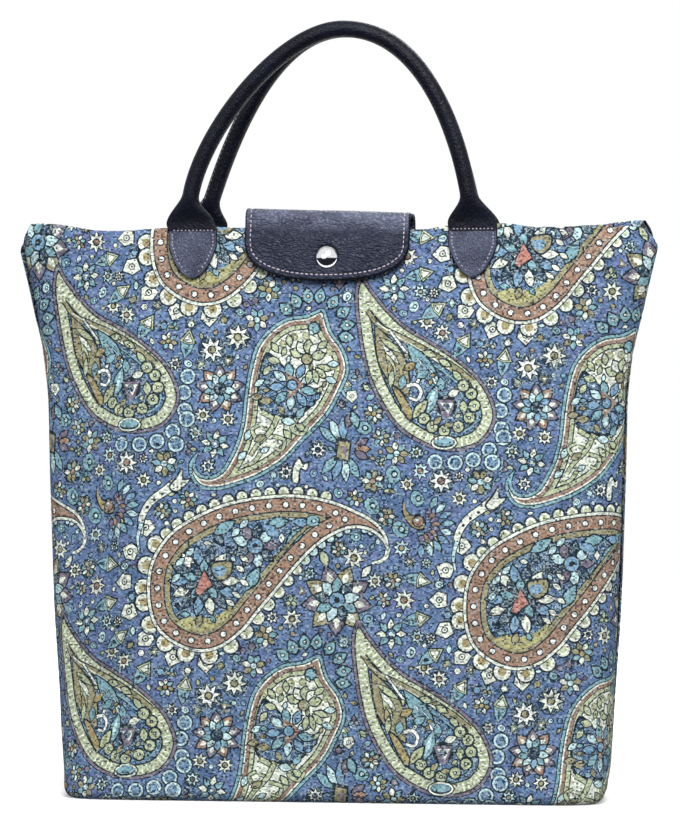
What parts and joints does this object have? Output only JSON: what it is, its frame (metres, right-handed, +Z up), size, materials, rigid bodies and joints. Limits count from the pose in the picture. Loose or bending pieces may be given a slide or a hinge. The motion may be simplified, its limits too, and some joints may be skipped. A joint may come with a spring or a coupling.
{
  "type": "foldable shopping bag",
  "caption": "Boxed tapestry shopping bag with a zip along its top edge, rolled leather handles with sewn pointed tabs, and a leather flap closed by a press stud.",
  "frame": {"origin": "middle of the underside of the base", "axes": "+Z up, +X across the bag to the right as seen from the front, the front with the press stud faces -Y"},
  "size_m": [0.4048, 0.0796, 0.4952],
  "materials": {
    "tapestry": "jacquard-woven cotton in blues with cream, green and terracotta",
    "lining": "thin plain-woven lining",
    "zip_tape": "woven zip tape",
    "zip_teeth": "moulded zip teeth",
    "leather": "pebbled navy leather",
    "metal": "polished plated metal"
  },
  "bodies": {
    "bag": {"front_panel": "tapestry", "back_panel": "tapestry", "base_panel": "tapestry", "lining": "lining", "zip_tape_front": "zip_tape", "zip_tape_back": "zip_tape", "zip_teeth_front": "zip_teeth", "zip_teeth_back": "zip_teeth", "zip_bottom_stop": "metal", "zip_top_stops": "metal", "flap_anchor": "leather", "snap_stud": "metal", "snap_post": "metal", "front_tab_left": "leather", "front_tab_right": "leather", "rear_tab_left": "leather", "rear_tab_right": "leather"},
    "front_handle": {"front_handle": "leather"},
    "rear_handle": {"rear_handle": "leather"},
    "flap": {"flap": "leather", "snap_cap": "metal", "snap_socket": "metal"},
    "zip_slider": {"zip_slider": "metal"},
    "zip_pull": {"zip_pull": "metal"}
  },
  "joints": [
    {"name": "front_handle_swing", "type": "hinge", "parent": "bag", "child": "front_handle", "pos_m": [0, -0.01804, 0.35915], "axis": [1, 0, 0], "range_deg": [-4, 160]},
    {"name": "rear_handle_swing", "type": "hinge", "parent": "bag", "child": "rear_handle", "pos_m": [0, 0.01804, 0.35915], "axis": [-1, 0, 0], "range_deg": [-4, 160]},
    {"name": "flap_lift", "type": "hinge", "parent": "bag", "child": "flap", "pos_m": [0, 0.0179, 0.3635], "axis": [-1, 0, 0], "range_deg": [0, 165]},
    {"name": "zip_run", "type": "slide", "parent": "bag", "child": "zip_slider", "axis": [1, 0, 0], "range_m": [0, 0.3243]},
    {"name": "pull_tilt", "type": "hinge", "parent": "zip_slider", "child": "zip_pull", "pos_m": [-0.16215, 0, 0.36015], "axis": [0, -1, 0], "range_deg": [0, 150]}
  ]
}
